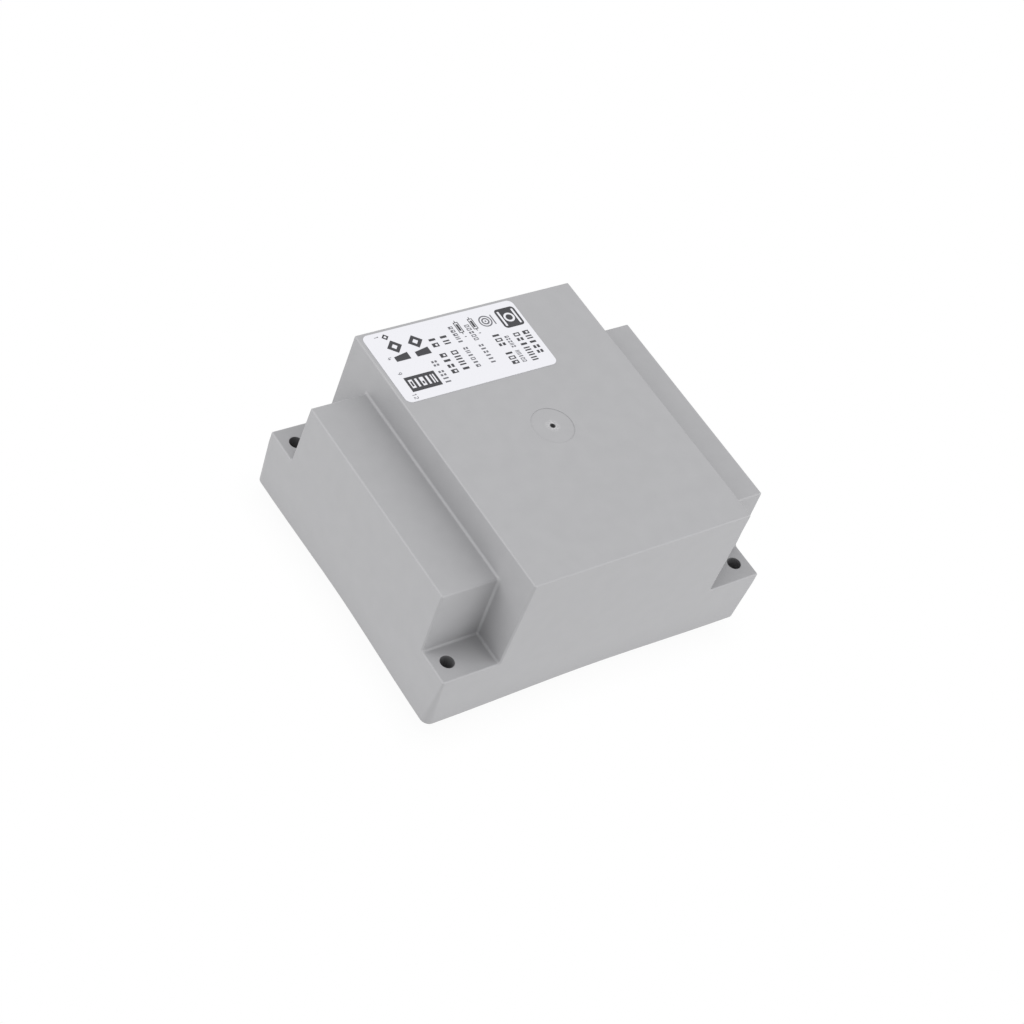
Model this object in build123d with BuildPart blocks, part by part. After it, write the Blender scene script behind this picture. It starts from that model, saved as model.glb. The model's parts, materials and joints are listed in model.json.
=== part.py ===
from build123d import *
import math
import os

"""
Flat mains transformer for a circuit board, cast in resin inside a moulded housing.

X runs along the housing, Y across it and Z up. The origin is at the middle of the plane
on which the housing's rim sits on the board. The primary pins are on the -X side. All
sizes are in millimetres.
"""

# Laminated core: two legs along X, joined at both ends by a yoke
leg_width = 16.0
window_width = 16.0
window_length = 48.0
stack_height = 17.0
sheet_pitch = 0.5
sheet_thickness = 0.48
joint_gap = 0.05

# Bobbins: one on each leg, with a winding chamber at each end
bobbin_wall = 1.2
flange_thickness = 1.2
flange_overhang = 8.3
bore_clearance = 0.2
window_clearance = 0.2
coil_gap = 0.4
coil_bottom = 4.6

# Windings, the tape round them and the leads to their pins
winding_build = 5.6
winding_clearance = 0.1
tape_thickness = 0.2
tape_margin = 2.2
primary_wire = 0.5
secondary_wire = 1.0
lead_drop = 1.1
lead_room = 0.3
wrap_length = 1.6

# Pins and the rails that hold them
pin_diameter = 1.0
shank_side = 1.1
pin_row_spacing = 55.0
pin_pitch = 15.0
pin_reach = 4.0
pin_tip = 0.3
pin_depth = 4.5
pin_clearance = 0.02
rail_height = 5.5
rail_edge = 2.0
rail_inset = 2.0

# Housing: a low block with four screw lugs, a step over each yoke and a tall block over the coils
wall = 2.0
yoke_end_fill = 1.5
yoke_side_fill = 1.2
yoke_head_fill = 0.5
coil_end_fill = 3.35
coil_side_fill = 2.85
coil_head_fill = 0.7
lug_height = 14.9
yoke_side_draft = 1.8
rim_corner_radius = 2.0
lug_corner_radius = 0.6
inner_corner_radius = 0.8
inside_fillet = 0.6
edge_break = 0.3
rim_bow = 0.6
bow_margin = 1.0

# Screw posts, gate mark, resin and rating label
screw_hole = 3.3
screw_inset_x = 3.9
screw_inset_y = 4.65
post_wall = 1.8
gate_disc = 10.0
gate_disc_depth = 0.1
gate_pit = 1.2
gate_pit_depth = 0.7
gate_pit_taper = 20.0
resin_recess = 0.8
label_length = 40.2
label_width = 20.2
label_corner = 1.5
label_thickness = 0.12
label_margin_x = 1.0
label_margin_y = 0.95

# How near an edge has to lie to a height or wall to be picked by it
tiny = 0.05

# Core and coils, worked out from the sizes above
core_length = window_length + 2 * leg_width
core_width = window_width + 2 * leg_width
core_bottom = coil_bottom + flange_overhang
core_top = core_bottom + stack_height
leg_offset = (leg_width + window_width) / 2
flange_height = stack_height + 2 * flange_overhang
flange_width = leg_width + window_width - coil_gap
bore_width = leg_width + 2 * bore_clearance
bore_height = stack_height + 2 * bore_clearance
tube_width = bore_width + 2 * bobbin_wall
tube_height = bore_height + 2 * bobbin_wall
bobbin_end = window_length / 2 - window_clearance
coil_top = coil_bottom + flange_height
coil_middle = coil_bottom + flange_height / 2
coils_half_width = leg_offset + flange_width / 2
chamber_length = bobbin_end - 1.5 * flange_thickness
corner_share = 2 - math.sqrt(2)

# Housing, worked out from what it holds
housing_length = core_length + 2 * (yoke_end_fill + wall)
housing_width = 2 * (coils_half_width + coil_side_fill + wall)
housing_height = coil_top + coil_head_fill + wall
tall_x = bobbin_end + coil_end_fill + wall
yoke_y = core_width / 2 + yoke_side_fill + wall
yoke_top_height = core_top + yoke_head_fill + wall
screw_x = housing_length / 2 - screw_inset_x
screw_y = housing_width / 2 - screw_inset_y
screw_places = [(x, y) for x in (-screw_x, screw_x) for y in (-screw_y, screw_y)]
post_radius = screw_hole / 2 + post_wall
bow_height = lug_height - wall - bow_margin

# Pins: their numbers run from back to front in each row
pin_x = pin_row_spacing / 2
pin_radius = pin_diameter / 2
lead_z = coil_bottom - lead_drop
pin_offsets = (pin_pitch / 2, -pin_pitch / 2)
pin_rows = {-1: (1, 4, 9, 12), 1: (8, 5, 16, 13)}
coil_sides = {"back": leg_offset, "front": -leg_offset}
pin_ys = [middle + dy for middle in coil_sides.values() for dy in pin_offsets]
pin_places = [(side * pin_x, y) for side in pin_rows for y in pin_ys]


def save(piece, name):
    """Label a finished piece and write it to its file."""
    piece.part.label = name
    export_step(piece.part, f"parts/{name}.step")


def bowed_rectangle(length, width, corner, bow):
    """Draw a rectangle with round corners, its sides drawn in by the bow at their middles."""
    x, y = length / 2, width / 2
    corners = [Vector(x, y), Vector(-x, y), Vector(-x, -y), Vector(x, -y)]
    with BuildLine() as outline:
        for before, after in zip(corners[-1:] + corners[:-1], corners):
            along = (after - before).normalized()
            inward = along.rotate(Axis.Z, 90)
            start = before + along * corner
            end = after - along * corner
            if bow > 0:
                middle = (start + end) / 2 + inward * bow
                Spline(start, middle, end, tangents=[along, along])
            else:
                Line(start, end)
            RadiusArc(end, after + inward * corner, -corner)
    make_face(outline.edges())


def stepped_form(inset, rim_corner, lug_corner):
    """Return the housing's stepped form, drawn in by the inset at its sides and tops."""
    length = housing_length - 2 * inset
    width = housing_width - 2 * inset
    lug_z = lug_height - inset
    ledge_z = yoke_top_height - inset
    top_z = housing_height - inset
    half = yoke_y - inset
    foot = half + (ledge_z - lug_z) * math.tan(math.radians(yoke_side_draft))
    with BuildPart() as form:
        with BuildSketch(Plane.XY):
            bowed_rectangle(length, width, rim_corner, rim_bow)
        with BuildSketch(Plane.XY.offset(bow_height)):
            bowed_rectangle(length, width, lug_corner, 0)
        loft(ruled=True)
        with BuildSketch(Plane.XY.offset(bow_height)):
            bowed_rectangle(length, width, lug_corner, 0)
        extrude(amount=top_z - bow_height)
        for side in (-1, 1):
            with BuildSketch(Plane.YZ.offset(side * (tall_x - inset))):
                with BuildLine():
                    Polyline(
                        (-width, lug_z),
                        (-foot, lug_z),
                        (-half, ledge_z),
                        (half, ledge_z),
                        (foot, lug_z),
                        (width, lug_z),
                        (width, 2 * top_z),
                        (-width, 2 * top_z),
                        close=True,
                    )
                make_face()
            extrude(amount=side * length, mode=Mode.SUBTRACT)
    return form.part


def is_level(edge, height):
    """Tell whether an edge lies level at a height."""
    box = edge.bounding_box()
    return abs(box.min.Z - height) < tiny and abs(box.max.Z - height) < tiny


def is_hollow_edge(edge):
    """Tell whether an edge lies in a hollow: at a tall end wall's foot, or where a yoke meets a lug."""
    box = edge.bounding_box()
    middle = edge.center()
    x, y, z = abs(middle.X), abs(middle.Y), middle.Z
    on_tall_end = box.size.X < tiny and abs(x - tall_x) < tiny
    inside_sides = y < housing_width / 2 - tiny and z < housing_height - tiny
    beside_yoke = x < housing_length / 2 - tiny and y < yoke_y + wall
    return on_tall_end and inside_sides or is_level(edge, lug_height) and beside_yoke


def is_outer_edge(edge):
    """Tell whether an edge runs round a top or up an outer side, from the lugs' tops upwards."""
    box = edge.bounding_box()
    middle = edge.center()
    x, y = abs(middle.X), abs(middle.Y)
    end, side = housing_length / 2, housing_width / 2
    in_end = box.size.X < tiny and x > end - tiny
    in_side = box.size.Y < tiny and y > side - tiny
    round_lug = x > end - lug_corner_radius and y > side - lug_corner_radius
    round_yoke = is_level(edge, yoke_top_height) and x > tall_x + inside_fillet + tiny
    round_top = is_level(edge, housing_height)
    is_high = box.min.Z > lug_height - tiny
    return is_high and (in_end or in_side or round_lug or round_yoke or round_top)


def bobbin(middle):
    """Return the bobbin of the leg at this place along Y."""
    with BuildPart() as body:
        with BuildSketch(Plane.YZ.offset(-bobbin_end)):
            with Locations((middle, coil_middle)):
                Rectangle(tube_width, tube_height)
        extrude(amount=2 * bobbin_end)
        flange_starts = (-bobbin_end, -flange_thickness / 2, bobbin_end - flange_thickness)
        with BuildSketch(*[Plane.YZ.offset(x) for x in flange_starts]):
            with Locations((middle, coil_middle)):
                Rectangle(flange_width, flange_height)
        extrude(amount=flange_thickness)
        rail_start = bobbin_end - flange_thickness
        rail_end = pin_x + rail_edge
        with BuildSketch(Plane.XY.offset(coil_bottom)):
            with Locations(*[(side * (rail_start + rail_end) / 2, middle) for side in (-1, 1)]):
                Rectangle(rail_end - rail_start, flange_width - 2 * rail_inset)
        extrude(amount=rail_height)
        with BuildSketch(Plane.YZ.offset(-bobbin_end)):
            with Locations((middle, coil_middle)):
                Rectangle(bore_width, bore_height)
        extrude(amount=2 * bobbin_end, mode=Mode.SUBTRACT)
        with BuildSketch(Plane.XY.offset(coil_bottom)):
            with Locations(*[(side * pin_x, middle + dy) for side in (-1, 1) for dy in pin_offsets]):
                Rectangle(shank_side + 2 * pin_clearance, shank_side + 2 * pin_clearance)
        extrude(amount=pin_depth, mode=Mode.SUBTRACT)
    return body


def wound_ring(start, length, middle, inside, outside):
    """Return a ring round a bobbin's tube, from one distance off the tube to another."""
    with BuildPart() as ring:
        for distance, mode in ((outside, Mode.ADD), (inside, Mode.SUBTRACT)):
            with BuildSketch(Plane.YZ.offset(start)) as outline:
                with Locations((middle, coil_middle)):
                    Rectangle(tube_width + 2 * distance, tube_height + 2 * distance)
                if distance > 0:
                    chamfer(outline.vertices(), corner_share * distance)
            extrude(amount=length, mode=mode)
    return ring.part


def lead_set(side, middle, wire):
    """Return the two leads of a winding, each with its turns wrapped round its pin."""
    start_x = side * (bobbin_end - flange_thickness - 2 * winding_clearance - wire / 2)
    winding_bottom = coil_middle - tube_height / 2 - winding_build
    hole = shank_side + 2 * pin_clearance
    with BuildPart() as leads:
        for y in [middle + dy for dy in pin_offsets]:
            with BuildSketch(Plane.XY.offset(lead_z - wire / 2)):
                with Locations((start_x, y)):
                    RegularPolygon(wire / 2, 6)
            extrude(amount=winding_bottom + wire - lead_z)
            with BuildSketch(Plane.YZ.offset(start_x)):
                with Locations((y, lead_z)):
                    RegularPolygon(wire / 2, 6)
            extrude(amount=side * pin_x - start_x)
            with BuildSketch(Plane.XY.offset(lead_z - wrap_length / 2)):
                with Locations((side * pin_x, y)):
                    RegularPolygon(hole / 2 + wire, 8, major_radius=False)
            extrude(amount=wrap_length)
            with BuildSketch(Plane.XY.offset(lead_z - wrap_length)):
                with Locations((side * pin_x, y)):
                    Rectangle(hole, hole)
            extrude(amount=2 * wrap_length, mode=Mode.SUBTRACT)
    return leads.part


os.makedirs("parts", exist_ok=True)

# Housing: moulded in one piece, open below
outer_form = stepped_form(0, rim_corner_radius, lug_corner_radius)
cavity_form = stepped_form(wall, inner_corner_radius, inner_corner_radius)

with BuildPart() as housing:
    add(outer_form)
    fillet(housing.edges().filter_by(is_hollow_edge), inside_fillet)
    chamfer(housing.edges().filter_by(is_outer_edge), edge_break)
    add(cavity_form, mode=Mode.SUBTRACT)
    with BuildSketch(Plane.XY):
        with Locations(*screw_places):
            Circle(post_radius)
    extrude(amount=lug_height - wall / 2)
    with BuildSketch(Plane.XY):
        with Locations(*screw_places):
            Circle(screw_hole / 2)
    extrude(amount=lug_height, mode=Mode.SUBTRACT)
    with BuildSketch(Plane.XY.offset(housing_height)):
        Circle(gate_disc / 2)
    extrude(amount=-gate_disc_depth, mode=Mode.SUBTRACT)
    with BuildSketch(Plane.XY.offset(housing_height)):
        Circle(gate_pit / 2)
    extrude(amount=-gate_pit_depth, taper=gate_pit_taper, mode=Mode.SUBTRACT)
save(housing, "housing")

# Rating label: in the back left corner of the top
with BuildPart() as rating_label:
    with BuildSketch(Plane.XY.offset(housing_height)):
        label_x = -tall_x + label_margin_x + label_length / 2
        label_y = housing_width / 2 - label_margin_y - label_width / 2
        with Locations((label_x, label_y)):
            RectangleRounded(label_length, label_width, label_corner)
    extrude(amount=label_thickness)
save(rating_label, "rating_label")

# Core: sheets stacked in turn from the left and from the right
sheet_count = int(stack_height / sheet_pitch)
sheet_levels = [core_bottom + sheet_pitch * i for i in range(sheet_count)]
for side, name, first in ((-1, "left", 0), (1, "right", 1)):
    with BuildPart() as u_laminations:
        with BuildSketch(*[Plane.XY.offset(z) for z in sheet_levels[first::2]]):
            with Locations((side * leg_width / 2, 0)):
                Rectangle(window_length + leg_width, core_width)
            with Locations((-side * joint_gap, 0)):
                Rectangle(window_length + 2 * joint_gap, window_width, mode=Mode.SUBTRACT)
        extrude(amount=sheet_thickness)
    save(u_laminations, f"u_laminations_{name}")

    with BuildPart() as i_laminations:
        with BuildSketch(*[Plane.XY.offset(z) for z in sheet_levels[1 - first :: 2]]):
            with Locations((side * (window_length + leg_width + joint_gap) / 2, 0)):
                Rectangle(leg_width - joint_gap, core_width)
        extrude(amount=sheet_thickness)
    save(i_laminations, f"i_laminations_{name}")

# Coils: on each leg a bobbin, a primary at its left end and a secondary at its right end
for row, middle in coil_sides.items():
    body = bobbin(middle)
    save(body, f"bobbin_{row}")
    for side, kind, wire in ((-1, "primary", primary_wire), (1, "secondary", secondary_wire)):
        chamber_start = side * flange_thickness / 2
        with BuildPart() as winding:
            start = chamber_start + side * winding_clearance
            length = side * (chamber_length - 2 * winding_clearance)
            add(wound_ring(start, length, middle, 0, winding_build))
            add(lead_set(side, middle, wire))
        save(winding, f"{kind}_winding_{row}")

        with BuildPart() as tape:
            start = chamber_start + side * winding_clearance
            length = side * (chamber_length - winding_clearance - tape_margin)
            add(wound_ring(start, length, middle, winding_build, winding_build + tape_thickness))
        save(tape, f"{kind}_tape_{row}")

# Pins: a round tail with a chamfered tip goes into the board, a square shank into the rail
for side, numbers in pin_rows.items():
    for number, y in zip(numbers, pin_ys):
        with BuildPart() as pin:
            with BuildSketch(Plane.XY.offset(-pin_reach)):
                with Locations((side * pin_x, y)):
                    Circle(pin_radius)
            extrude(amount=pin_reach + resin_recess)
            chamfer(pin.edges().sort_by(Axis.Z)[0], pin_tip)
            with BuildSketch(Plane.XY.offset(resin_recess)):
                with Locations((side * pin_x, y)):
                    Rectangle(shank_side, shank_side)
            extrude(amount=coil_bottom + pin_depth - resin_recess)
        save(pin, f"pin_{number}")

# Resin: fills the housing round the core and the coils, up to just inside the rim
with BuildPart() as potting_resin:
    add(cavity_form)
    with BuildSketch(Plane.XY):
        Rectangle(2 * housing_length, 2 * housing_width)
    extrude(amount=resin_recess, mode=Mode.SUBTRACT)
    with BuildSketch(Plane.XY):
        with Locations(*screw_places):
            Circle(post_radius)
    extrude(amount=lug_height, mode=Mode.SUBTRACT)
    with BuildSketch(Plane.XY.offset(core_bottom)):
        Rectangle(core_length, core_width)
    extrude(amount=stack_height, mode=Mode.SUBTRACT)
    with BuildSketch(Plane.XY.offset(coil_bottom)):
        Rectangle(2 * bobbin_end, 2 * coils_half_width)
    extrude(amount=flange_height, mode=Mode.SUBTRACT)
    pocket_bottom = lead_z - wrap_length / 2 - lead_room
    pocket_start = bobbin_end - flange_thickness - 2 * (winding_clearance + secondary_wire)
    pocket_end = pin_x + rail_edge
    pocket_x = (pocket_start + pocket_end) / 2
    with BuildSketch(Plane.XY.offset(pocket_bottom)):
        with Locations(*[(side * pocket_x, y) for side in pin_rows for y in coil_sides.values()]):
            Rectangle(pocket_end - pocket_start, flange_width - 2 * rail_inset)
    extrude(amount=coil_bottom + rail_height - pocket_bottom, mode=Mode.SUBTRACT)
    with BuildSketch(Plane.XY):
        with Locations(*pin_places):
            Rectangle(shank_side, shank_side)
    extrude(amount=coil_bottom, mode=Mode.SUBTRACT)
save(potting_resin, "potting_resin")
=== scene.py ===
"""Looks of a flat resin-cast transformer: plastics, metals, a printed label and a plain stage.

The row frame is in metres: X along the housing, Y across it towards the label, Z up.
"""

import json

import bpy
import numpy as np
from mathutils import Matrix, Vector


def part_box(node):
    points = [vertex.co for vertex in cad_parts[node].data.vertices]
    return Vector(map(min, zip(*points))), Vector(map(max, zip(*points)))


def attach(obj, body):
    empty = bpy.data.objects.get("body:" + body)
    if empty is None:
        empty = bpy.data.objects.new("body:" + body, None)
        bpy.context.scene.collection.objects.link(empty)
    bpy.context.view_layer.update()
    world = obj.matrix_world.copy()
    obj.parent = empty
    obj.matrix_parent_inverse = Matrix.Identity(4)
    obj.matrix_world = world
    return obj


bl_info = {
    "name": "Cast Transformer Looks",
    "version": (1, 0, 0),
    "blender": (4, 5, 0),
    "location": "View3D > Sidebar > Transformer",
    "description": "Finishes, printed label and stage of a flat resin-cast transformer",
    "category": "Object",
}

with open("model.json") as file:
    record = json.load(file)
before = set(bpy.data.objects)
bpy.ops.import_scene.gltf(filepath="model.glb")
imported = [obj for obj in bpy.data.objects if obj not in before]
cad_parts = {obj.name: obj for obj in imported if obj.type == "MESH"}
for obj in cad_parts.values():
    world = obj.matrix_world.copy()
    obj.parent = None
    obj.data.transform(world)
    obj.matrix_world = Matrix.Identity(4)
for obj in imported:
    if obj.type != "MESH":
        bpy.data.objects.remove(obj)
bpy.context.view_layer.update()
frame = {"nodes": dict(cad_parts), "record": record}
NODES = frame["nodes"]
MM = 0.001

# The film's box, from which the print is laid out, and the housing's, which the lamps aim at
LABEL_LOW, LABEL_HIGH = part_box("rating_label")
HOUSING_LOW, HOUSING_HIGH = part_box("housing")

# The four screw holes stand on this axis and its mirror images in x and y
HOLES = next(m["dims"] for m in frame["record"]["mounts"] if m["name"] == "screw_holes")
HOLE_AXIS = (HOLES["spacing_x_mm"] / 2 * MM, HOLES["spacing_y_mm"] / 2 * MM, 0.0)
HOLE_RADIUS = HOLES["hole_r_mm"] * MM

# A colour mix takes its two colours at sockets 6 and 7 and gives the result at socket 2
MIX_FIRST, MIX_SECOND, MIX_RESULT = 6, 7, 2

# Each lamp shines back along the way in which a rounded edge mirrors the camera
LAMPS = {
    "lamp_back_left": (-0.70, 0.44, 0.555),
    "lamp_front_right": (0.555, -0.704, 0.443),
}
FLOOR_SIDE = 6.0
SENSOR_WIDTH_MM = 36.0
NEAREST_SEEN = 10 * MM


# Materials


def linear(code):
    """Turn an sRGB colour written as #RRGGBB into the linear colour that a shader takes."""
    channels = [int(code[i : i + 2], 16) / 255 for i in (1, 3, 5)]
    turned = [c / 12.92 if c <= 0.04045 else ((c + 0.055) / 1.055) ** 2.4 for c in channels]
    return (*turned, 1.0)


def add_node(tree, kind, inputs=None, **settings):
    """Add a shader node with its settings, and fill each input named with a value or a link.

    A node given as a value stands for its first output.
    """
    node = tree.nodes.new(kind)
    for key, value in settings.items():
        setattr(node, key, value)
    for key, value in (inputs or {}).items():
        if isinstance(value, bpy.types.Node):
            value = value.outputs[0]
        if isinstance(value, bpy.types.NodeSocket):
            tree.links.new(value, node.inputs[key])
        else:
            node.inputs[key].default_value = value
    return node


def empty_tree(owner):
    """Give a material or a world an empty node tree."""
    owner.use_nodes = True
    owner.node_tree.nodes.clear()
    return owner.node_tree


def painted_edge_highlight(tree, looks, soft):
    """Return the share of painted highlight on each spot: its slope, times how near the next face
    is.

    The slope is z sqrt(1 - z z), where z is the upward part of the rounded normal: 1/2 on an
    edge at 45 degrees and 0 on level and upright faces. The next face is looked for inside
    the wall, so that only the edges that stand out are found.
    """
    upward = add_node(tree, "ShaderNodeSeparateXYZ", {"Vector": soft}).outputs["Z"]
    square = add_node(tree, "ShaderNodeMath", {0: upward, 1: upward}, operation="MULTIPLY")
    rest = add_node(tree, "ShaderNodeMath", {0: 1.0, 1: square}, operation="SUBTRACT")
    level = add_node(tree, "ShaderNodeMath", {0: rest}, operation="SQRT")
    slope = add_node(tree, "ShaderNodeMath", {0: upward, 1: level}, operation="MULTIPLY")
    wall = add_node(
        tree, "ShaderNodeAmbientOcclusion", {"Distance": looks.edge_reach}, samples=4, inside=True
    ).outputs["AO"]
    near = add_node(tree, "ShaderNodeMath", {0: 1.0, 1: wall}, operation="SUBTRACT")
    edge = add_node(tree, "ShaderNodeMath", {0: slope, 1: near}, operation="MULTIPLY")
    # Painted highlight: this share mixes a paler grey into the upward edges
    return add_node(
        tree,
        "ShaderNodeMapRange",
        {"Value": edge, "From Min": 0.02, "From Max": 0.2, "To Max": looks.edge_highlight_share},
    )


def gate_mark(tree, looks, place, flat):
    """Return the share of pale speckles round the gate mark, and that of the painted shade in its
    pit.

    The mark is where the plastic was let into the mould, in the middle of the top.
    """
    away = add_node(tree, "ShaderNodeVectorMath", {0: flat}, operation="LENGTH").outputs["Value"]
    speckle = add_node(
        tree, "ShaderNodeTexNoise", {"Vector": place, "Scale": 1 / looks.speckle_size}
    )
    stray = add_node(
        tree, "ShaderNodeMapRange", {"Value": speckle, "From Min": 0.42, "From Max": 0.62}
    )
    near = add_node(
        tree,
        "ShaderNodeMapRange",
        {"Value": away, "From Min": looks.halo_radius, "From Max": looks.pit_radius},
    )
    halo = add_node(tree, "ShaderNodeMath", {0: stray, 1: near}, operation="MULTIPLY")
    # Painted shade: the pit is painted dark
    pit = add_node(
        tree,
        "ShaderNodeMapRange",
        {"Value": away, "From Min": looks.pit_radius, "From Max": 0.85 * looks.pit_radius},
    )
    return halo, pit


def housing_material(looks):
    """Grey glass-filled polyamide from a spark-eroded mould: matt, with a fine even grain.

    It is faintly mottled, with painted shade deep in the screw pockets and other recesses,
    painted shade in the bores of the screw holes and a painted highlight on the upward edges.
    The bores are found by their distance from one axis, with x and y made positive.
    """
    material = bpy.data.materials.new("glass_filled_polyamide")
    tree = empty_tree(material)
    place = add_node(tree, "ShaderNodeTexCoord").outputs["Object"]
    parts = add_node(tree, "ShaderNodeSeparateXYZ", {"Vector": place}).outputs
    flat = add_node(tree, "ShaderNodeCombineXYZ", {"X": parts["X"], "Y": parts["Y"]})
    soft = add_node(tree, "ShaderNodeBevel", {"Radius": looks.edge_round}, samples=6)

    mottle = add_node(
        tree,
        "ShaderNodeTexNoise",
        {"Vector": place, "Scale": 1 / looks.mottle_size, "Detail": 4.0},
    )
    blend = add_node(
        tree, "ShaderNodeMapRange", {"Value": mottle, "From Min": 0.3, "From Max": 0.7}
    )
    # Painted shade: a darker grey is mixed in where walls hem the surface in, deep in the screw
    # pockets and other recesses
    open_side = add_node(
        tree, "ShaderNodeAmbientOcclusion", {"Distance": looks.recess_reach}, samples=6
    ).outputs["AO"]
    recess = add_node(
        tree, "ShaderNodeMapRange", {"Value": open_side, "From Min": 0.62, "From Max": 0.32}
    )
    # Painted shade: the bores of the screw holes are painted a darker grey
    corner = add_node(tree, "ShaderNodeVectorMath", {0: flat}, operation="ABSOLUTE")
    off_axis = add_node(
        tree, "ShaderNodeVectorMath", {0: corner, 1: HOLE_AXIS}, operation="DISTANCE"
    ).outputs["Value"]
    bore = add_node(
        tree,
        "ShaderNodeMapRange",
        {"Value": off_axis, "From Min": 1.03 * HOLE_RADIUS, "From Max": HOLE_RADIUS},
    )
    halo, pit = gate_mark(tree, looks, place, flat)

    colour = linear(looks.dark_colour)
    # Over the mottled grey go a painted shade in recesses, a painted highlight on upward edges, the
    # pale speckles round the gate mark, a painted shade in its pit and a painted shade in the bores
    for share, code in (
        (blend, looks.colour),
        (recess, looks.recess_shade_colour),
        (painted_edge_highlight(tree, looks, soft), looks.edge_highlight_colour),
        (halo, looks.halo_colour),
        (pit, looks.pit_shade_colour),
        (bore, looks.bore_shade_colour),
    ):
        colour = add_node(
            tree,
            "ShaderNodeMix",
            {0: share, MIX_FIRST: colour, MIX_SECOND: linear(code)},
            data_type="RGBA",
        ).outputs[MIX_RESULT]

    grain = add_node(
        tree,
        "ShaderNodeTexNoise",
        {"Vector": place, "Scale": 1 / looks.grain_size, "Detail": 2.0},
    )
    normal = add_node(
        tree,
        "ShaderNodeBump",
        {"Height": grain, "Distance": looks.grain_height, "Normal": soft},
    )
    spread = looks.roughness_spread
    rough = add_node(
        tree,
        "ShaderNodeMapRange",
        {"Value": mottle, "To Min": looks.roughness - spread, "To Max": looks.roughness + spread},
    )
    shader = add_node(
        tree,
        "ShaderNodeBsdfPrincipled",
        {"Base Color": colour, "Roughness": rough, "Normal": normal},
    )
    add_node(tree, "ShaderNodeOutputMaterial", {"Surface": shader})
    return material


def film_material(looks):
    """White polyester label film: smooth and slightly glossy, with the faint waves of its glue."""
    wave_size, wave_height = 11 * MM, 0.02 * MM
    material = bpy.data.materials.new("polyester_label_film")
    tree = empty_tree(material)
    place = add_node(tree, "ShaderNodeTexCoord").outputs["Object"]
    waves = add_node(tree, "ShaderNodeTexNoise", {"Vector": place, "Scale": 1 / wave_size})
    normal = add_node(tree, "ShaderNodeBump", {"Height": waves, "Distance": wave_height})
    shader = add_node(
        tree,
        "ShaderNodeBsdfPrincipled",
        {"Base Color": linear(looks.film_colour), "Roughness": 0.38, "Normal": normal},
    )
    add_node(tree, "ShaderNodeOutputMaterial", {"Surface": shader})
    return material


def ink_material(name, code):
    """Thermal transfer ink: a thin dark layer, a little patchy where the ribbon took badly."""
    patch_size = 0.6 * MM
    material = bpy.data.materials.new(name)
    tree = empty_tree(material)
    place = add_node(tree, "ShaderNodeTexCoord").outputs["Object"]
    patches = add_node(tree, "ShaderNodeTexNoise", {"Vector": place, "Scale": 1 / patch_size})
    rough = add_node(
        tree, "ShaderNodeMapRange", {"Value": patches, "To Min": 0.32, "To Max": 0.55}
    )
    shader = add_node(
        tree, "ShaderNodeBsdfPrincipled", {"Base Color": linear(code), "Roughness": rough}
    )
    add_node(tree, "ShaderNodeOutputMaterial", {"Surface": shader})
    return material


def resin_material(looks):
    """Black filled casting resin that set with an open face: glossy in slow waves, with specks."""
    wave_size, wave_height = 14 * MM, 0.6 * MM
    speck_size, speck_height = 0.45 * MM, 0.01 * MM
    material = bpy.data.materials.new("casting_resin")
    tree = empty_tree(material)
    place = add_node(tree, "ShaderNodeTexCoord").outputs["Object"]
    waves = add_node(tree, "ShaderNodeTexNoise", {"Vector": place, "Scale": 1 / wave_size})
    swell = add_node(tree, "ShaderNodeBump", {"Height": waves, "Distance": wave_height})
    specks = add_node(tree, "ShaderNodeTexNoise", {"Vector": place, "Scale": 1 / speck_size})
    pale = add_node(
        tree,
        "ShaderNodeMapRange",
        {"Value": specks, "From Min": 0.45, "From Max": 0.75, "To Max": 0.25},
    )
    colours = {MIX_FIRST: linear(looks.resin_colour), MIX_SECOND: linear(looks.filler_colour)}
    base = add_node(tree, "ShaderNodeMix", {0: pale, **colours}, data_type="RGBA")
    normal = add_node(
        tree, "ShaderNodeBump", {"Height": specks, "Distance": speck_height, "Normal": swell}
    )
    shader = add_node(
        tree,
        "ShaderNodeBsdfPrincipled",
        {"Base Color": base.outputs[MIX_RESULT], "Roughness": 0.32, "Normal": normal},
    )
    add_node(tree, "ShaderNodeOutputMaterial", {"Surface": shader})
    return material


def sheet_steel_material():
    """Annealed silicon steel sheet: satin, with the blotches of its bluish insulating coat."""
    blotch_size = 8 * MM
    material = bpy.data.materials.new("silicon_steel_sheet")
    tree = empty_tree(material)
    place = add_node(tree, "ShaderNodeTexCoord").outputs["Object"]
    blotches = add_node(
        tree, "ShaderNodeTexNoise", {"Vector": place, "Scale": 1 / blotch_size, "Detail": 4.0}
    )
    colours = {MIX_FIRST: linear("#63666B"), MIX_SECOND: linear("#8A8D92")}
    base = add_node(tree, "ShaderNodeMix", {0: blotches, **colours}, data_type="RGBA")
    rough = add_node(
        tree, "ShaderNodeMapRange", {"Value": blotches, "To Min": 0.35, "To Max": 0.6}
    )
    shader = add_node(
        tree,
        "ShaderNodeBsdfPrincipled",
        {"Base Color": base.outputs[MIX_RESULT], "Metallic": 0.9, "Roughness": rough},
    )
    add_node(tree, "ShaderNodeOutputMaterial", {"Surface": shader})
    return material


def bobbin_material():
    """Black glass-filled polyamide, satin from a polished mould."""
    grain_size, grain_height = 0.4 * MM, 0.01 * MM
    material = bpy.data.materials.new("black_polyamide")
    tree = empty_tree(material)
    place = add_node(tree, "ShaderNodeTexCoord").outputs["Object"]
    grain = add_node(tree, "ShaderNodeTexNoise", {"Vector": place, "Scale": 1 / grain_size})
    normal = add_node(tree, "ShaderNodeBump", {"Height": grain, "Distance": grain_height})
    shader = add_node(
        tree,
        "ShaderNodeBsdfPrincipled",
        {"Base Color": linear("#242426"), "Roughness": 0.48, "Normal": normal},
    )
    add_node(tree, "ShaderNodeOutputMaterial", {"Surface": shader})
    return material


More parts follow.
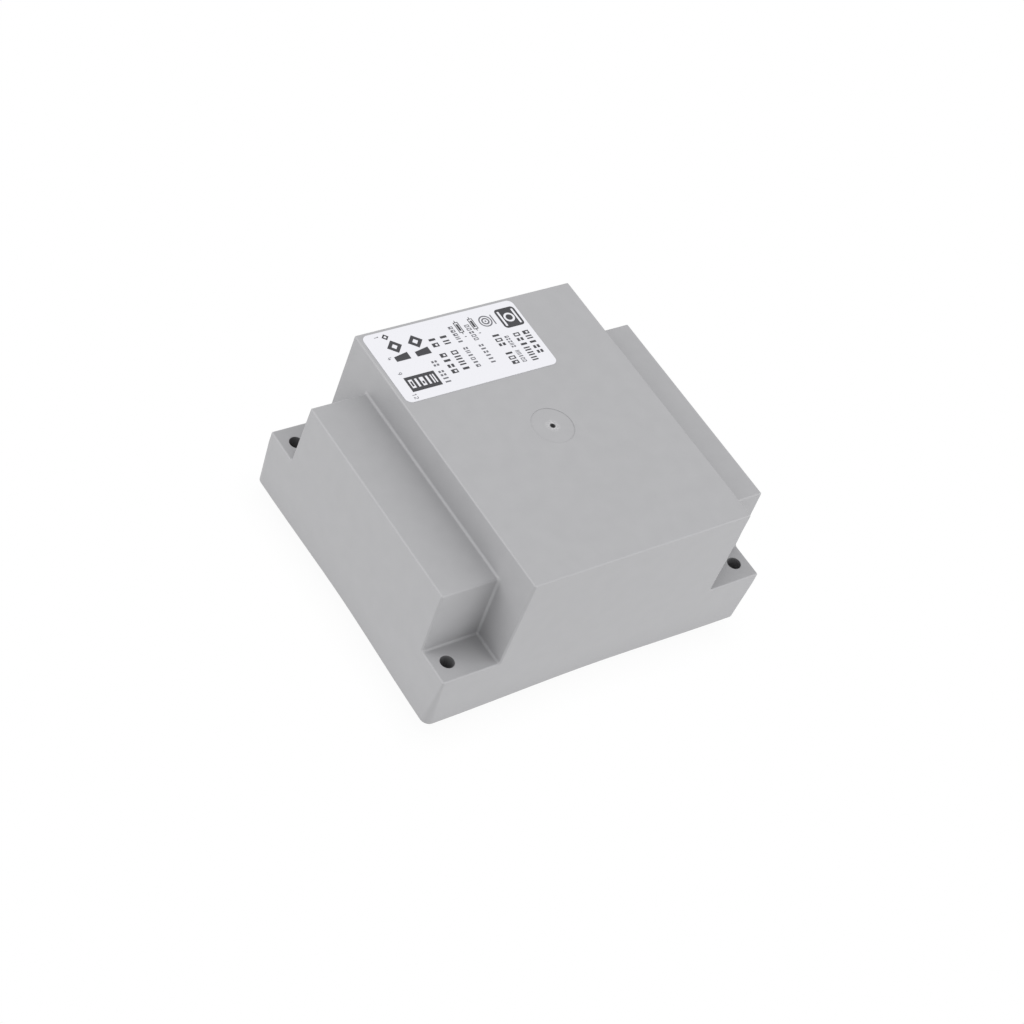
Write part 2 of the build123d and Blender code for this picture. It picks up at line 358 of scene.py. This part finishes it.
def wire_material(name, pitch):
    """Enamelled copper wire, laid turn by turn along the core's leg at this pitch.

    Across each turn the height is sqrt(1 - s s), where s runs from -1 to 1: a row of round wires.
    The colour is painted dark down in the grooves between turns, a painted shade.
    """
    material = bpy.data.materials.new(name)
    tree = empty_tree(material)
    place = add_node(tree, "ShaderNodeTexCoord").outputs["Object"]
    along = add_node(tree, "ShaderNodeSeparateXYZ", {"Vector": place}).outputs["X"]
    turns = add_node(tree, "ShaderNodeMath", {0: along, 1: pitch}, operation="DIVIDE")
    share = add_node(tree, "ShaderNodeMath", {0: turns}, operation="FRACT")
    across = add_node(tree, "ShaderNodeMapRange", {"Value": share, "To Min": -1.0})
    square = add_node(tree, "ShaderNodeMath", {0: across, 1: across}, operation="MULTIPLY")
    rest = add_node(tree, "ShaderNodeMath", {0: 1.0, 1: square}, operation="SUBTRACT")
    height = add_node(tree, "ShaderNodeMath", {0: rest}, operation="SQRT")
    # Painted shade: the copper is painted dark brown down in the grooves between turns, and keeps
    # its own colour on each crown
    crown = add_node(tree, "ShaderNodeMapRange", {"Value": height, "From Max": 0.6})
    colours = {MIX_FIRST: linear("#3B1A0C"), MIX_SECOND: linear("#B4622F")}
    base = add_node(tree, "ShaderNodeMix", {0: crown, **colours}, data_type="RGBA")
    normal = add_node(tree, "ShaderNodeBump", {"Height": height, "Distance": pitch / 2})
    metal = {"Base Color": base.outputs[MIX_RESULT], "Metallic": 0.85, "Roughness": 0.28}
    shader = add_node(tree, "ShaderNodeBsdfPrincipled", {**metal, "Normal": normal})
    add_node(tree, "ShaderNodeOutputMaterial", {"Surface": shader})
    return material


def tape_material():
    """Yellow polyester insulating tape, glossy, with the wrinkles of a tight winding."""
    wrinkle_size, wrinkle_height = 4 * MM, 0.06 * MM
    material = bpy.data.materials.new("polyester_tape")
    tree = empty_tree(material)
    place = add_node(tree, "ShaderNodeTexCoord").outputs["Object"]
    wrinkles = add_node(tree, "ShaderNodeTexNoise", {"Vector": place, "Scale": 1 / wrinkle_size})
    normal = add_node(tree, "ShaderNodeBump", {"Height": wrinkles, "Distance": wrinkle_height})
    shader = add_node(
        tree,
        "ShaderNodeBsdfPrincipled",
        {"Base Color": linear("#D8B23C"), "Roughness": 0.26, "Normal": normal},
    )
    add_node(tree, "ShaderNodeOutputMaterial", {"Surface": shader})
    return material


def pin_material():
    """Hot tinned copper-clad steel: bright, with the faint ripples of the dipped tin."""
    ripple_size, ripple_height = 0.55 * MM, 0.02 * MM
    material = bpy.data.materials.new("tinned_wire")
    tree = empty_tree(material)
    place = add_node(tree, "ShaderNodeTexCoord").outputs["Object"]
    ripples = add_node(tree, "ShaderNodeTexNoise", {"Vector": place, "Scale": 1 / ripple_size})
    normal = add_node(tree, "ShaderNodeBump", {"Height": ripples, "Distance": ripple_height})
    rough = add_node(
        tree, "ShaderNodeMapRange", {"Value": ripples, "To Min": 0.15, "To Max": 0.33}
    )
    metal = {"Base Color": linear("#D6D5D2"), "Metallic": 1.0, "Roughness": rough}
    shader = add_node(tree, "ShaderNodeBsdfPrincipled", {**metal, "Normal": normal})
    add_node(tree, "ShaderNodeOutputMaterial", {"Surface": shader})
    return material


def seen_rays(tree):
    """Return 1 for rays from the camera, in gloss and through glass, which see the background."""
    rays = add_node(tree, "ShaderNodeLightPath").outputs
    direct = add_node(
        tree,
        "ShaderNodeMath",
        {0: rays["Is Camera Ray"], 1: rays["Is Glossy Ray"]},
        operation="MAXIMUM",
    )
    return add_node(
        tree, "ShaderNodeMath", {0: direct, 1: rays["Is Transmission Ray"]}, operation="MAXIMUM"
    )


def floor_material(looks):
    """A pale floor of even light: white to the camera and in gloss, with a faint contact shadow.

    Seen from underneath it is clear, so that the underside of the part can be looked at.
    """
    material = bpy.data.materials.new("pale_floor")
    tree = empty_tree(material)
    open_sky = add_node(
        tree, "ShaderNodeAmbientOcclusion", {"Distance": looks.shadow_reach}, samples=8
    ).outputs["AO"]
    white = add_node(tree, "ShaderNodeMapRange", {"Value": open_sky, "To Min": looks.shadow_level})
    strength = add_node(
        tree,
        "ShaderNodeMapRange",
        {"Value": seen_rays(tree), "To Min": looks.floor_level, "To Max": white},
    )
    light = add_node(
        tree, "ShaderNodeEmission", {"Color": linear("#FFFFFF"), "Strength": strength}
    )
    clear = add_node(tree, "ShaderNodeBsdfTransparent")
    back = add_node(tree, "ShaderNodeNewGeometry").outputs["Backfacing"]
    both = add_node(tree, "ShaderNodeMixShader", {0: back, 1: light, 2: clear})
    add_node(tree, "ShaderNodeOutputMaterial", {"Surface": both})
    return material


def paint(names, material):
    """Give CAD nodes this material in place of the one they came with."""
    for name in names:
        if name not in NODES:
            raise RuntimeError(f"the frame has no node named {name}")
        mesh = NODES[name].data
        mesh.materials.clear()
        mesh.materials.append(material)


# Flat shapes of the print, in millimetres on the film: u from its left edge, v from its back edge


def boxes(rows):
    """Corners of rectangles, from rows of u, v, width along u and length along v."""
    u, v, width, length = np.array(rows, float).T
    right, front = u + width, v + length
    return list(np.array([[u, v], [right, v], [right, front], [u, front]]).transpose(2, 0, 1))


def arc(u, v, radius, start, end, steps):
    """Points on a circle between two angles in degrees: (u + r cos a, v + r sin a)."""
    angles = np.radians(np.linspace(start, end, steps + 1))
    return np.stack([u + radius * np.cos(angles), v + radius * np.sin(angles)], axis=1)


def ring(u, v, radius, width, steps=32):
    """Quadrilaterals between two circles that lie half the width either side of the radius.

    With 4 steps it is a diamond.
    """
    inner = arc(u, v, radius - width / 2, 0, 360, steps)
    outer = arc(u, v, radius + width / 2, 0, 360, steps)
    return list(np.stack([inner[:-1], outer[:-1], outer[1:], inner[1:]], axis=1))


def rounded(u, v, width, length, corner, steps=6):
    """Outline of a rectangle with round corners: four quarter circles in turn."""
    right, left = u + width - corner, u + corner
    back, front = v + corner, v + length - corner
    turns = ((right, back, -90), (right, front, 0), (left, front, 90), (left, back, 180))
    quarters = [arc(cu, cv, corner, start, start + 90, steps) for cu, cv, start in turns]
    return [np.concatenate(quarters)]


def stroke(points, width):
    """Quadrilaterals along a line of points, mitred at its turns: p + m w / 2 to p - m w / 2.

    m is the sum of the unit normals before and after p, divided by 1 plus their dot product.
    """
    points = np.array(points, float)
    way = np.diff(points, axis=0)
    way /= np.linalg.norm(way, axis=1, keepdims=True)
    side = np.stack([-way[:, 1], way[:, 0]], axis=1)
    before, after = np.vstack([side[:1], side]), np.vstack([side, side[-1:]])
    mitre = (before + after) / (1 + np.sum(before * after, axis=1, keepdims=True))
    left, right = points + mitre * width / 2, points - mitre * width / 2
    return list(np.stack([left[:-1], left[1:], right[1:], right[:-1]], axis=1))


# Plain digits as lines in a box 0.6 wide and 1 tall, a along the line and b up
DIGITS = {
    "1": [[(0.3, 1.0), (0.3, 0.0)], [(0.06, 0.9), (0.23, 0.9)]],
    "2": [[*arc(0.3, 0.7, 0.26, 160, -30, 6), (0.12, 0.19)], [(0.0, 0.07), (0.6, 0.07)]],
    "4": [
        [(0.07, 1.0), (0.07, 0.35), (0.64, 0.35)],
        [(0.44, 0.7), (0.44, 0.42)],
        [(0.44, 0.28), (0.44, 0.0)],
    ],
    "9": [arc(0.3, 0.7, 0.26, 0, 360, 12), [(0.55, 0.46), (0.5, 0.28), (0.28, 0.04)]],
}
DIGIT_STEP = 0.78
DIGIT_WEIGHT = 0.14


def number(text, u, v, size):
    """Strokes of a plain number that reads along v, with its top towards +u."""
    shapes = []
    for place, digit in enumerate(text):
        for line in DIGITS[digit]:
            for shape in stroke(line, DIGIT_WEIGHT):
                along, up = shape.T
                along = along + place * DIGIT_STEP
                shapes.append(np.stack([u + up * size, v + along * size], axis=1))
    return shapes


# Plain forms that stand for letters, as a, b, width, height in a box 1 wide and 1 tall: a frame,
# two bars, two squares, a frame half filled, and a block
FORMS = (
    ((0.0, 0.0, 1.0, 0.2), (0.0, 0.8, 1.0, 0.2), (0.0, 0.2, 0.26, 0.6), (0.74, 0.2, 0.26, 0.6)),
    ((0.0, 0.0, 0.34, 1.0), (0.66, 0.0, 0.34, 1.0)),
    ((0.08, 0.0, 0.84, 0.4), (0.08, 0.6, 0.84, 0.4)),
    ((0.0, 0.0, 1.0, 0.46), (0.0, 0.8, 1.0, 0.2), (0.0, 0.46, 0.26, 0.34), (0.74, 0.46, 0.26, 0.34)),
    ((0.22, 0.0, 0.56, 1.0),),
)
LETTER_WIDTH = 0.7


def words(u, v, length, height, counts, rng):
    """A line of forms that stand for letters, with one letter's space between its words.

    It reads along v with its top towards +u. Letter i starts at v + i p, where p is the length
    divided by the number of letters and spaces.
    """
    pitch = length / (sum(counts) + len(counts) - 1)
    ends = np.cumsum([count + 1 for count in counts])
    slots = [i for i in range(ends[-1] - 1) if i + 1 not in ends]
    rows = []
    for slot, form in zip(slots, rng.integers(len(FORMS), size=len(slots))):
        a, b, wide, tall = np.array(FORMS[form]).T
        along, breadth = slot * pitch + a * LETTER_WIDTH * pitch, wide * LETTER_WIDTH * pitch
        rows.append(np.stack([u + b * height, v + along, tall * height, breadth], axis=1))
    return boxes(np.concatenate(rows))


# Lines of print: u, v, length, height and the letters in each word
BOLD_LINES = (
    (14.5, 4.9, 11.3, 1.65, (2, 4)),
    (17.5, 4.9, 11.3, 1.65, (2, 4)),
    (29.6, 8.2, 9.7, 1.75, (3, 3)),
    (34.7, 9.3, 9.0, 1.6, (6,)),
    (37.2, 9.3, 7.5, 1.6, (5,)),
)
FINE_LINES = (
    (11.5, 11.0, 7.0, 1.4, (2, 4)),
    (20.9, 3.2, 12.8, 1.15, (5, 6)),
    (24.9, 3.8, 12.2, 1.2, (5, 6)),
    (32.2, 9.5, 8.3, 1.1, (5, 5)),
)

# The pin numbers beside the film's left edge, with u and v
PIN_NUMBERS = (("1", 2.75, 0.9), ("4", 2.4, 7.3), ("9", 2.25, 11.8), ("12", 2.1, 18.2))
PIN_NUMBER_SIZE = 1.05

# Marks at these u, each a diamond over a slanted block, and a small diamond before them
BOLD_MARKS = (4.1, 9.5)
DIAMOND = (1.85, 4.75, 1.35, 1.15)
SMALL_DIAMOND = (5.35, 1.65, 0.65, 0.5)
SLANTED_BLOCK = ((0.0, 7.5), (3.7, 6.9), (3.7, 8.9), (0.0, 8.9))

# A dark bar with one word in it, whose u and v are exchanged so that it reads along the bar
DARK_BAR = (2.8, 13.5, 7.8, 4.2)
BAR_WORD = (14.35, 3.4, 7.0, 2.4, (5,))

# Narrow frames at these u, each with a wire end on both sides, a core and a tick after it
WIRE_FRAMES = (22.75, 26.6)
WIRE_FRAME = (
    (0.0, 2.4, 0.2, 3.2),
    (1.05, 2.4, 0.2, 3.2),
    (0.2, 2.4, 0.85, 0.2),
    (0.2, 5.4, 0.85, 0.2),
    (0.52, 1.9, 0.2, 0.5),
    (0.52, 5.6, 0.2, 0.5),
    (0.35, 3.0, 0.55, 2.0),
    (0.5, 6.8, 0.5, 0.2),
)

# A round mark of two rings with a dot and a line, and a square one with a ring between lines
ROUND_MARK_RINGS = ((30.6, 4.15, 1.5, 0.32), (30.6, 4.15, 0.8, 0.36))
ROUND_MARK_BOXES = ((32.5, 2.7, 0.3, 2.9), (30.4, 3.95, 0.4, 0.4))
SQUARE_MARK = (34.1, 1.8, 5.4, 5.75, 0.9)
SQUARE_MARK_RING = (36.8, 4.68, 1.1, 0.5)
SQUARE_MARK_BOXES = ((34.65, 2.5, 0.5, 4.4), (38.45, 2.5, 0.5, 4.4))


def print_piece(name, shapes, material, thickness):
    """Make one piece of print from outlines on the film, as closed prisms of this thickness.

    A point (u, v) lies at (x0 + u, y1 - v) in the row frame, where x0 and y1 are the film's left
    and back edges. Each outline of n points gives n points on the film's top and n above them,
    a face above, a face below, and n side faces between point i and point i + 1 around it.
    """
    points, faces, first = [], [], 0
    for shape in shapes:
        x, y = LABEL_LOW.x + shape[:, 0] * MM, LABEL_HIGH.y - shape[:, 1] * MM
        if np.sum(x * np.roll(y, -1) - np.roll(x, -1) * y) < 0:
            x, y = x[::-1], y[::-1]
        count = len(shape)
        points.append(np.column_stack([x, y, np.full(count, LABEL_HIGH.z)]))
        points.append(np.column_stack([x, y, np.full(count, LABEL_HIGH.z + thickness)]))
        low = first + np.arange(count)
        after = np.roll(low, -1)
        faces += [low[::-1].tolist(), (low + count).tolist()]
        faces += np.stack([low, after, after + count, low + count], axis=1).tolist()
        first += 2 * count
    mesh = bpy.data.meshes.new(name)
    mesh.from_pydata(np.concatenate(points), [], faces)
    mesh.materials.append(material)
    piece = bpy.data.objects.new(name, mesh)
    bpy.context.scene.collection.objects.link(piece)
    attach(piece, "root")


# Settings


class HousingLooks(bpy.types.PropertyGroup):
    """Finish of the housing."""

    colour: bpy.props.StringProperty(
        name="Colour", description="Grey of the plastic, as sRGB", default="#AAAAAC"
    )
    dark_colour: bpy.props.StringProperty(
        name="Mottle colour",
        description="Darker grey of the faint mottling, as sRGB",
        default="#A7A7A9",
    )
    # Painted shade, mixed in where walls hem the surface in
    recess_shade_colour: bpy.props.StringProperty(
        name="Recess colour",
        description="Grey deep in the screw pockets, as sRGB",
        default="#949496",
    )
    # Painted highlight along the upward edges
    edge_highlight_colour: bpy.props.StringProperty(
        name="Edge colour", description="Grey of the painted edge highlights, as sRGB", default="#BEBEC0"
    )
    halo_colour: bpy.props.StringProperty(
        name="Halo colour",
        description="Pale speckles round the gate mark, as sRGB",
        default="#C8C8C9",
    )
    # Painted shade in the gate mark's pit
    pit_shade_colour: bpy.props.StringProperty(
        name="Pit colour", description="Painted shade in the gate mark's pit, as sRGB", default="#3C3C3E"
    )
    # Painted shade on the walls of the screw holes
    bore_shade_colour: bpy.props.StringProperty(
        name="Bore colour", description="Painted shade on the wall of the screw holes, as sRGB", default="#727274"
    )
    roughness: bpy.props.FloatProperty(
        name="Roughness",
        description="Roughness of the plastic",
        default=0.5,
        min=0.0,
        max=1.0,
        subtype="FACTOR",
    )
    roughness_spread: bpy.props.FloatProperty(
        name="Roughness spread",
        description="How far the mottling moves the roughness either way",
        default=0.05,
        min=0.0,
        max=0.5,
        subtype="FACTOR",
    )
    mottle_size: bpy.props.FloatProperty(
        name="Mottle size",
        description="Size of the mottling",
        default=4.0 * MM,
        precision=4,
        unit="LENGTH",
    )
    grain_size: bpy.props.FloatProperty(
        name="Grain size",
        description="Size of the mould's grain",
        default=0.3 * MM,
        precision=5,
        unit="LENGTH",
    )
    grain_height: bpy.props.FloatProperty(
        name="Grain height",
        description="Height of the mould's grain",
        default=0.012 * MM,
        precision=6,
        unit="LENGTH",
    )
    recess_reach: bpy.props.FloatProperty(
        name="Recess reach",
        description="How near a wall makes a recess",
        default=25.0 * MM,
        precision=4,
        unit="LENGTH",
    )
    edge_round: bpy.props.FloatProperty(
        name="Edge round",
        description="Radius that sharp edges are shaded with",
        default=0.3 * MM,
        precision=5,
        unit="LENGTH",
    )
    # Reach of the painted highlight along the edges
    edge_reach: bpy.props.FloatProperty(
        name="Edge reach",
        description="How far from an edge the painted highlight reaches",
        default=0.6 * MM,
        precision=5,
        unit="LENGTH",
    )
    # Share of the painted highlight on an edge
    edge_highlight_share: bpy.props.FloatProperty(
        name="Edge highlight",
        description="Share of the edge colour on a sharp edge",
        default=0.7,
        min=0.0,
        max=1.0,
        subtype="FACTOR",
    )
    pit_radius: bpy.props.FloatProperty(
        name="Pit radius",
        description="Radius of the gate mark's pit",
        default=0.7 * MM,
        precision=5,
        unit="LENGTH",
    )
    halo_radius: bpy.props.FloatProperty(
        name="Halo radius",
        description="How far the pale speckles reach",
        default=1.9 * MM,
        precision=5,
        unit="LENGTH",
    )
    speckle_size: bpy.props.FloatProperty(
        name="Speckle size",
        description="Size of the pale speckles",
        default=0.35 * MM,
        precision=5,
        unit="LENGTH",
    )


class LabelLooks(bpy.types.PropertyGroup):
    """Finish of the rating label and its print."""

    film_colour: bpy.props.StringProperty(
        name="Film colour", description="White of the film, as sRGB", default="#E5E5EA"
    )
    ink_colour: bpy.props.StringProperty(
        name="Ink colour", description="Dark of the print, as sRGB", default="#333338"
    )
    thin_ink_colour: bpy.props.StringProperty(
        name="Thin ink colour", description="Grey of the fine print, as sRGB", default="#66666C"
    )
    thickness: bpy.props.FloatProperty(
        name="Ink thickness",
        description="Height of the ink above the film",
        default=0.012 * MM,
        precision=6,
        unit="LENGTH",
    )
    seed: bpy.props.IntProperty(name="Seed", description="Start of the random print", default=7)


class FillingLooks(bpy.types.PropertyGroup):
    """Finish of the resin and of what is cast in it."""

    resin_colour: bpy.props.StringProperty(
        name="Resin colour", description="Colour of the casting resin, as sRGB", default="#2B2927"
    )
    filler_colour: bpy.props.StringProperty(
        name="Filler colour", description="Mineral specks in the resin, as sRGB", default="#5A5755"
    )
    primary_pitch: bpy.props.FloatProperty(
        name="Primary pitch",
        description="Distance between turns of the primary wire",
        default=0.52 * MM,
        precision=5,
        unit="LENGTH",
    )
    secondary_pitch: bpy.props.FloatProperty(
        name="Secondary pitch",
        description="Distance between turns of the secondary wire",
        default=1.05 * MM,
        precision=5,
        unit="LENGTH",
    )


class StageLooks(bpy.types.PropertyGroup):
    """Camera, floor and lamps."""

    lens: bpy.props.FloatProperty(
        name="Lens",
        description="Focal length in millimetres",
        default=87.988,
        min=1.0,
        unit="CAMERA",
    )
    position: bpy.props.FloatVectorProperty(
        name="Camera position",
        description="Where the camera stands",
        size=3,
        default=(-0.3053089, -0.2476017, 0.4075308),
        precision=5,
        unit="LENGTH",
    )
    rotation: bpy.props.FloatVectorProperty(
        name="Camera rotation",
        description="How the camera is turned",
        size=3,
        default=(0.7370748, -0.2899462, -0.5830383),
        subtype="EULER",
    )
    world_level: bpy.props.FloatProperty(
        name="World level", description="Strength of the even light", default=0.88, min=0.0
    )
    floor_level: bpy.props.FloatProperty(
        name="Floor level", description="Light that the floor gives back", default=0.93, min=0.0
    )
    shadow_level: bpy.props.FloatProperty(
        name="Shadow level",
        description="White of the floor where the part covers it",
        default=0.93,
        min=0.0,
        max=1.0,
        subtype="FACTOR",
    )
    shadow_reach: bpy.props.FloatProperty(
        name="Shadow reach",
        description="How far the contact shadow spreads",
        default=8.0 * MM,
        precision=4,
        unit="LENGTH",
    )
    lamp_power: bpy.props.FloatProperty(
        name="Lamp power",
        description="Power of each soft lamp",
        default=1.03,
        min=0.0,
        unit="POWER",
    )
    lamp_size: bpy.props.FloatProperty(
        name="Lamp size",
        description="Side of each square lamp",
        default=0.5,
        min=0.01,
        unit="LENGTH",
    )
    lamp_distance: bpy.props.FloatProperty(
        name="Lamp distance",
        description="From each lamp to the part",
        default=0.6,
        min=0.1,
        unit="LENGTH",
    )


# Operators


class TRANSFORMER_OT_housing(bpy.types.Operator):
    """Give the housing its moulded plastic and its gate mark"""

    bl_idname = "transformer.housing"
    bl_label = "Housing"

    def execute(self, context):
        paint(["housing"], housing_material(context.scene.housing_looks))
        return {"FINISHED"}


class TRANSFORMER_OT_label(bpy.types.Operator):
    """Give the rating label its film and a print of plain shapes"""

    bl_idname = "transformer.label"
    bl_label = "Rating label"

    def execute(self, context):
        looks = context.scene.label_looks
        thickness = looks.thickness
        film = film_material(looks)
        ink = ink_material("dark_transfer_ink", looks.ink_colour)
        thin = ink_material("grey_transfer_ink", looks.thin_ink_colour)
        rng = np.random.default_rng(looks.seed)
        paint(["rating_label"], film)

        numbers = []
        for text, u, v in PIN_NUMBERS:
            numbers += number(text, u, v, PIN_NUMBER_SIZE)
        print_piece("print_pin_numbers", numbers, thin, thickness)

        marks = ring(*SMALL_DIAMOND, steps=4)
        for place in BOLD_MARKS:
            u, *measures = DIAMOND
            marks += ring(place + u, *measures, steps=4)
            marks.append(np.array(SLANTED_BLOCK) + (place, 0.0))
        print_piece("print_bold_marks", marks, ink, thickness)
        print_piece("print_dark_bar", boxes([DARK_BAR]), ink, thickness)

        bold, fine = [], []
        for line in BOLD_LINES:
            bold += words(*line, rng)
        print_piece("print_bold_lines", bold, ink, thickness)
        for line in FINE_LINES:
            fine += words(*line, rng)
        print_piece("print_fine_lines", fine, thin, thickness)
        pale = [shape[:, ::-1] for shape in words(*BAR_WORD, rng)]
        print_piece("print_dark_bar_windows", pale, film, 2 * thickness)

        frames = []
        for place in WIRE_FRAMES:
            frames += boxes(np.array(WIRE_FRAME) + (place, 0.0, 0.0, 0.0))
        print_piece("print_frames", frames, ink, thickness)

        badge = []
        for circle in ROUND_MARK_RINGS:
            badge += ring(*circle)
        badge += boxes(ROUND_MARK_BOXES)
        print_piece("print_round_mark", badge, thin, thickness)
        print_piece("print_square_mark", rounded(*SQUARE_MARK), ink, thickness)
        inside = ring(*SQUARE_MARK_RING) + boxes(SQUARE_MARK_BOXES)
        print_piece("print_square_mark_windows", inside, film, 2 * thickness)
        return {"FINISHED"}


class TRANSFORMER_OT_filling(bpy.types.Operator):
    """Give the resin, the core, the coils and the pins their materials"""

    bl_idname = "transformer.filling"
    bl_label = "Resin, core, coils and pins"

    def execute(self, context):
        looks = context.scene.filling_looks
        primary = wire_material("fine_enamelled_copper", looks.primary_pitch)
        secondary = wire_material("thick_enamelled_copper", looks.secondary_pitch)
        paint(["potting_resin"], resin_material(looks))
        paint([n for n in NODES if "laminations" in n], sheet_steel_material())
        paint([n for n in NODES if n.startswith("bobbin")], bobbin_material())
        paint([n for n in NODES if n.startswith("primary_winding")], primary)
        paint([n for n in NODES if n.startswith("secondary_winding")], secondary)
        paint([n for n in NODES if "tape" in n], tape_material())
        paint([n for n in NODES if n.startswith("pin_")], pin_material())
        return {"FINISHED"}


class TRANSFORMER_OT_stage(bpy.types.Operator):
    """Set up the floor, the even light, the soft lamps and the camera"""

    bl_idname = "transformer.stage"
    bl_label = "Stage"

    def execute(self, context):
        looks = context.scene.stage_looks
        scene = context.scene

        bottom = min(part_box(name)[0].z for name in NODES)
        bpy.ops.mesh.primitive_plane_add(size=FLOOR_SIDE, location=(0.0, 0.0, bottom))
        floor = context.object
        floor.name = "floor"
        floor.data.materials.append(floor_material(looks))

        world = bpy.data.worlds.new("even_light")
        tree = empty_tree(world)
        strength = add_node(
            tree,
            "ShaderNodeMapRange",
            {"Value": seen_rays(tree), "To Min": looks.world_level, "To Max": 1.0},
        )
        background = add_node(
            tree, "ShaderNodeBackground", {"Color": linear("#FFFFFF"), "Strength": strength}
        )
        add_node(tree, "ShaderNodeOutputWorld", {"Surface": background})
        scene.world = world

        middle = (HOUSING_LOW + HOUSING_HIGH) / 2
        for name, way in LAMPS.items():
            light = bpy.data.lights.new(name, "AREA")
            light.shape = "SQUARE"
            light.size = looks.lamp_size
            light.energy = looks.lamp_power
            lamp = bpy.data.objects.new(name, light)
            lamp.location = [m + looks.lamp_distance * w for m, w in zip(middle, way)]
            lamp.rotation_euler = (middle - lamp.location).to_track_quat("-Z", "Y").to_euler()
            scene.collection.objects.link(lamp)

        lens = bpy.data.cameras.new("camera")
        lens.lens = looks.lens
        lens.sensor_width = SENSOR_WIDTH_MM
        lens.sensor_fit = "HORIZONTAL"
        lens.clip_start = NEAREST_SEEN
        camera = bpy.data.objects.new("camera", lens)
        camera.location = looks.position
        camera.rotation_euler = looks.rotation
        scene.collection.objects.link(camera)
        scene.camera = camera
        scene.view_settings.view_transform = "Standard"
        return {"FINISHED"}


class TRANSFORMER_PT_looks(bpy.types.Panel):
    """List the settings and the operators of the transformer"""

    bl_idname = "TRANSFORMER_PT_looks"
    bl_label = "Transformer"
    bl_space_type = "VIEW_3D"
    bl_region_type = "UI"
    bl_category = "Transformer"

    def draw(self, context):
        for group, operator in STEPS:
            box = self.layout.box()
            looks = getattr(context.scene, group)
            for key in looks.__annotations__:
                box.prop(looks, key)
            box.operator(operator.bl_idname)


GROUPS = {
    "housing_looks": HousingLooks,
    "label_looks": LabelLooks,
    "filling_looks": FillingLooks,
    "stage_looks": StageLooks,
}
STEPS = (
    ("housing_looks", TRANSFORMER_OT_housing),
    ("label_looks", TRANSFORMER_OT_label),
    ("filling_looks", TRANSFORMER_OT_filling),
    ("stage_looks", TRANSFORMER_OT_stage),
)
CLASSES = (*GROUPS.values(), *(operator for group, operator in STEPS), TRANSFORMER_PT_looks)


def register():
    """Register the classes and hang the settings on the scene."""
    for item in CLASSES:
        bpy.utils.register_class(item)
    for name, group in GROUPS.items():
        setattr(bpy.types.Scene, name, bpy.props.PointerProperty(type=group))


def unregister():
    """Take the settings and the classes away again."""
    for name in GROUPS:
        delattr(bpy.types.Scene, name)
    for item in reversed(CLASSES):
        bpy.utils.unregister_class(item)


def main():
    """Run every operator in order."""
    register()
    bpy.ops.transformer.housing()
    bpy.ops.transformer.label()
    bpy.ops.transformer.filling()
    bpy.ops.transformer.stage()


if __name__ == "__main__":
    main()
